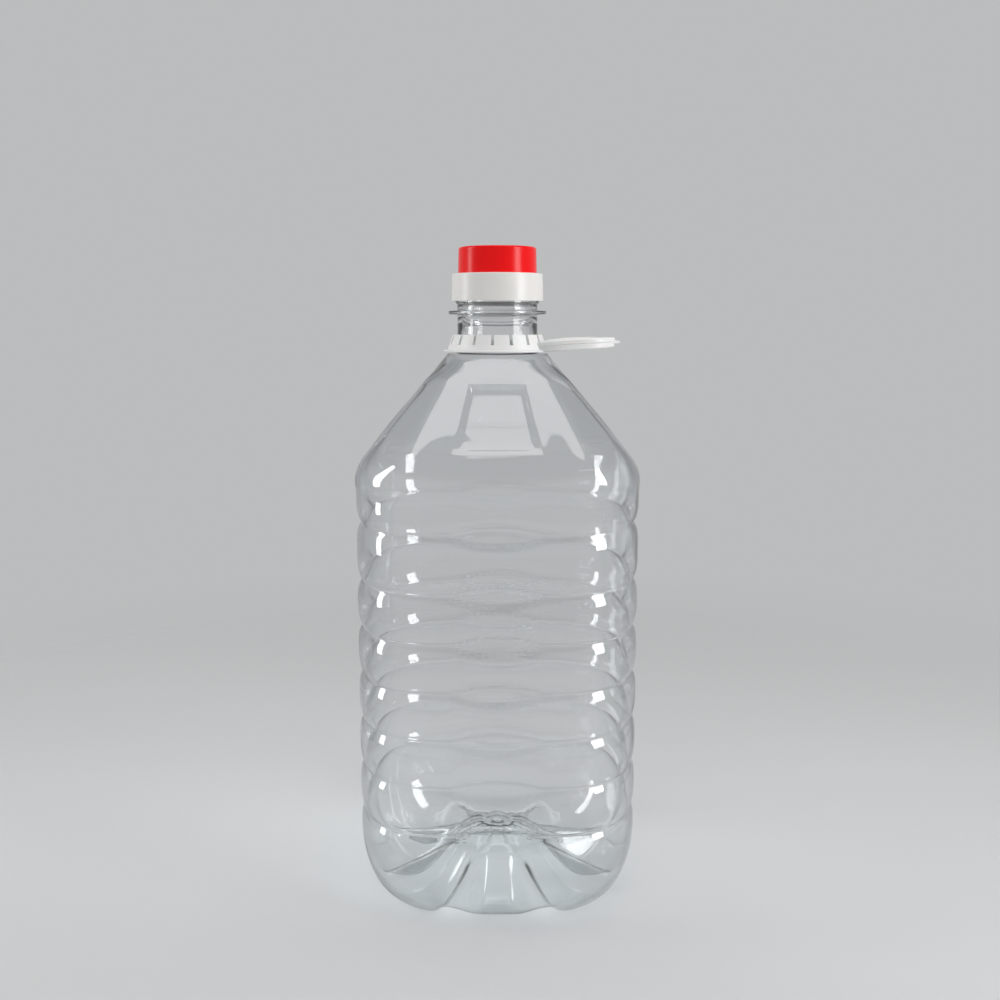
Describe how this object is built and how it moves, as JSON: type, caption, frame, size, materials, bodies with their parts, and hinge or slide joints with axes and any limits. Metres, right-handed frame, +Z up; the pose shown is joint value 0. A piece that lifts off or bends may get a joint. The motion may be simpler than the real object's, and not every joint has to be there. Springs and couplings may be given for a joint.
{
  "type": "plastic jug",
  "caption": "Clear blow-moulded five-litre jug with ribbed square body, sloping shoulder, petal base, white swivelling push-on handle and a white and red cap.",
  "frame": {"origin": "middle of the footprint on the surface the jug stands on, below the axis of its neck", "axes": "+Z up along the neck's axis, +X towards the tip of the handle as stored, -Y towards the viewer"},
  "size_m": [0.1542, 0.1542, 0.3556],
  "materials": {
    "clear_pet": "clear glossy",
    "white_cap": "glossy",
    "red_lid": "glossy",
    "white_handle": "satin"
  },
  "bodies": {
    "jug_body": {"jug": "clear_pet", "cap_base": "white_cap", "lid": "red_lid"},
    "handle_body": {"handle": "white_handle"}
  },
  "joints": [
    {"name": "handle_swivel", "type": "hinge", "parent": "jug_body", "child": "handle_body", "pos_m": [0, 0, 0.3045], "axis": [0, 0, 1], "continuous": true}
  ]
}
